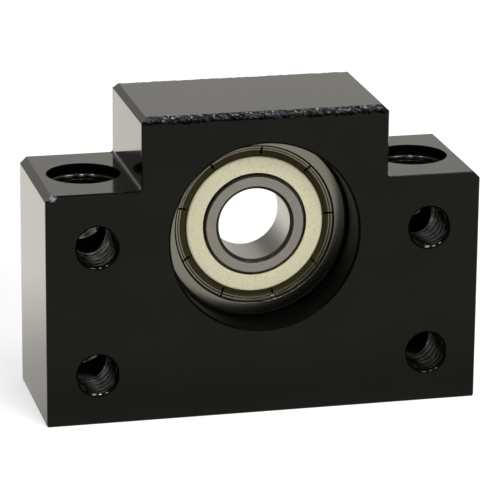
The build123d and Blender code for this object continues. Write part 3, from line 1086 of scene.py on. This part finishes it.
# The stage
def lamp(name, spot, size, watts, tint=(1, 1, 1), in_gloss=False, plain=True):
    """A square lamp that shines at the block, shown in gloss and in plain light or not."""
    data = bpy.data.lights.new(name, "AREA")
    data.size = size
    data.energy = watts
    data.color = tint
    holder = bpy.data.objects.new(name, data)
    holder.location = spot
    target = Vector((0, 0, 0.02))
    holder.rotation_euler = (target - Vector(spot)).to_track_quat("-Z", "Y").to_euler()
    holder.visible_glossy = in_gloss
    holder.visible_diffuse = plain
    bpy.context.scene.collection.objects.link(holder)


def floor_material(settings):
    """White to the camera with the object's shadow kept, and a bright sweep behind it to gloss."""
    material, tree, shader = new_material("pale_floor")
    tree.tree.nodes.remove(shader)
    near, middle, far = -0.02, 0.006, 0.065
    foot, foot_width = -0.017, 0.022
    left, left_end = -0.09, -0.045
    path = tree.node("ShaderNodeLightPath")
    parts = tree.parts(tree.spot())
    along = parts["Y"]
    rise = tree.ranged(along, settings.middle, settings.far, middle, far, soft=True)
    front = tree.ranged(along, settings.near, settings.middle, near, middle)
    # Painted shadow: what gloss shows of the floor is dimmed right before the block
    away = tree.math("ABSOLUTE", tree.math("SUBTRACT", along, foot))
    foot_shadow = tree.ranged(away, settings.foot, 1.0, 0.0, foot_width)
    side = tree.ranged(parts["X"], settings.left, 1.0, left, left_end, soft=True)
    shown = tree.math("MULTIPLY", tree.math("MULTIPLY", front, foot_shadow), side)
    behind = tree.math("GREATER_THAN", along, middle)
    strength = tree.add("ShaderNodeMix", {0: behind, 2: shown, 3: rise})
    sweep = tree.add("ShaderNodeEmission", {"Color": (*settings.warm, 1), "Strength": strength})
    glow = tree.add("ShaderNodeEmission", {
        "Strength": tree.math("MULTIPLY", path["Is Camera Ray"], settings.glow)})
    white = tree.add("ShaderNodeBsdfDiffuse", {"Color": (*settings.white, 1)})
    seen = tree.add("ShaderNodeAddShader", {0: white, 1: glow})
    gloss = tree.math("MAXIMUM", path["Is Glossy Ray"], path["Is Transmission Ray"])
    mixed = tree.add("ShaderNodeMixShader", {0: gloss, 1: seen, 2: sweep})
    tree.set(tree.tree.nodes["Material Output"], {"Surface": mixed})
    return material


def flat_sheet(name, corners):
    """A single face."""
    mesh = bpy.data.meshes.new(name)
    mesh.from_pydata(corners, [], [range(len(corners))])
    return new_piece(name, mesh)


def card(name, left, right, low, high, strength, tint):
    """An upright card a metre behind the block that only gloss shows."""
    corners = ((left, low), (right, low), (right, high), (left, high))
    board = flat_sheet(name, [(x, 1.0, z) for x, z in corners])
    material, tree, shader = new_material(name)
    tree.tree.nodes.remove(shader)
    light = tree.add("ShaderNodeEmission", {"Color": (*tint, 1), "Strength": strength})
    tree.set(tree.tree.nodes["Material Output"], {"Surface": light})
    board.data.materials.append(material)
    board.visible_camera = False
    board.visible_diffuse = False
    board.visible_shadow = False


def set_world(settings):
    """White to the camera, dim to gloss and even to everything else."""
    world = bpy.data.worlds.new("studio")
    bpy.context.scene.world = world
    world.use_nodes = True
    tree = Tree(world.node_tree)
    world.node_tree.nodes.clear()
    path = tree.node("ShaderNodeLightPath")
    even = tree.add("ShaderNodeMix", {
        0: path["Is Glossy Ray"], 2: settings.ambient, 3: settings.gloss_world})
    strength = tree.add("ShaderNodeMix", {0: path["Is Camera Ray"], 2: even, 3: 1.0})
    light = tree.add("ShaderNodeBackground", {"Color": (1, 1, 1, 1), "Strength": strength})
    tree.node("ShaderNodeOutputWorld", {"Surface": light})


class SUPPORT_OT_stage(bpy.types.Operator):
    """Sets the floor, the lamps, the world and the camera"""
    bl_idname = "support.stage"
    bl_label = "Stage"

    def execute(self, context):
        settings = context.scene.support_stage
        half = settings.floor / 2
        floor = flat_sheet("floor", [
            (-half, -half, 0), (half, -half, 0), (half, half, 0), (-half, half, 0)])
        floor.data.materials.append(floor_material(settings))

        card("card", -0.02, 1.6, 0.0, 1.2, settings.card, settings.warm)
        card("low_card", -1.6, -0.02, 0.0, 0.27, settings.low_card, settings.warm)
        card("high_card", -1.6, -0.02, 0.27, 1.2, settings.high_card, settings.warm)
        lamp("key_lamp", (0.24, -0.85, 0.46), 0.5, settings.key)
        lamp("fill_lamp", (-0.45, -0.75, 0.75), 0.5, settings.fill)
        lamp("top_lamp", (0.25, -0.15, 0.6), 0.16, settings.top, settings.lilac, in_gloss=True)
        lamp("middle_top_lamp", (-0.02, -0.16, 0.6), 0.08, settings.small,
             in_gloss=True, plain=False)
        lamp("left_top_lamp", (-0.27, -0.16, 0.56), 0.08, settings.small, settings.lilac,
             in_gloss=True, plain=False)
        set_world(settings)

        data = bpy.data.cameras.new("camera")
        data.lens = settings.lens
        data.sensor_width = 36.0
        camera = bpy.data.objects.new("camera", data)
        turn = (Matrix.Rotation(-settings.azimuth, 4, "Z")
                @ Matrix.Rotation(math.pi / 2 - settings.tilt, 4, "X")
                @ Matrix.Rotation(settings.roll, 4, "Z"))
        camera.matrix_world = Matrix.Translation(settings.camera) @ turn
        context.scene.collection.objects.link(camera)
        context.scene.camera = camera
        context.scene.view_settings.view_transform = "Standard"
        return {"FINISHED"}


class SUPPORT_PT_panel(bpy.types.Panel):
    """Lists the support's pieces with their sizes and colours"""
    bl_idname = "SUPPORT_PT_panel"
    bl_label = "Ball screw end support"
    bl_space_type = "VIEW_3D"
    bl_region_type = "UI"
    bl_category = "End support"

    def draw(self, context):
        for operator, name in STEPS:
            box = self.layout.box()
            box.operator(operator.bl_idname)
            settings = getattr(context.scene, name)
            for field in type(settings).__annotations__:
                box.prop(settings, field)


STEPS = ((SUPPORT_OT_stage, "support_stage"), (SUPPORT_OT_block, "support_block"),
         (SUPPORT_OT_rings, "support_rings"), (SUPPORT_OT_shields, "support_shields"),
         (SUPPORT_OT_cage, "support_cage"), (SUPPORT_OT_balls, "support_cage"))
GROUPS = {"support_stage": StageSettings, "support_block": BlockSettings,
          "support_rings": RingSettings, "support_shields": ShieldSettings,
          "support_cage": CageSettings}


def register():
    """Registers the classes and puts their settings on the scene."""
    for name, group in GROUPS.items():
        bpy.utils.register_class(group)
        setattr(bpy.types.Scene, name, PointerProperty(type=group))
    for operator, _ in STEPS:
        bpy.utils.register_class(operator)
    bpy.utils.register_class(SUPPORT_PT_panel)


def unregister():
    """Takes the classes and their settings away again."""
    bpy.utils.unregister_class(SUPPORT_PT_panel)
    for operator, _ in reversed(STEPS):
        bpy.utils.unregister_class(operator)
    for name, group in reversed(GROUPS.items()):
        delattr(bpy.types.Scene, name)
        bpy.utils.unregister_class(group)


def main():
    register()
    bpy.ops.support.stage()
    bpy.ops.support.block()
    bpy.ops.support.rings()
    bpy.ops.support.shields()
    bpy.ops.support.cage()
    bpy.ops.support.balls()


if __name__ == "__main__":
    main()
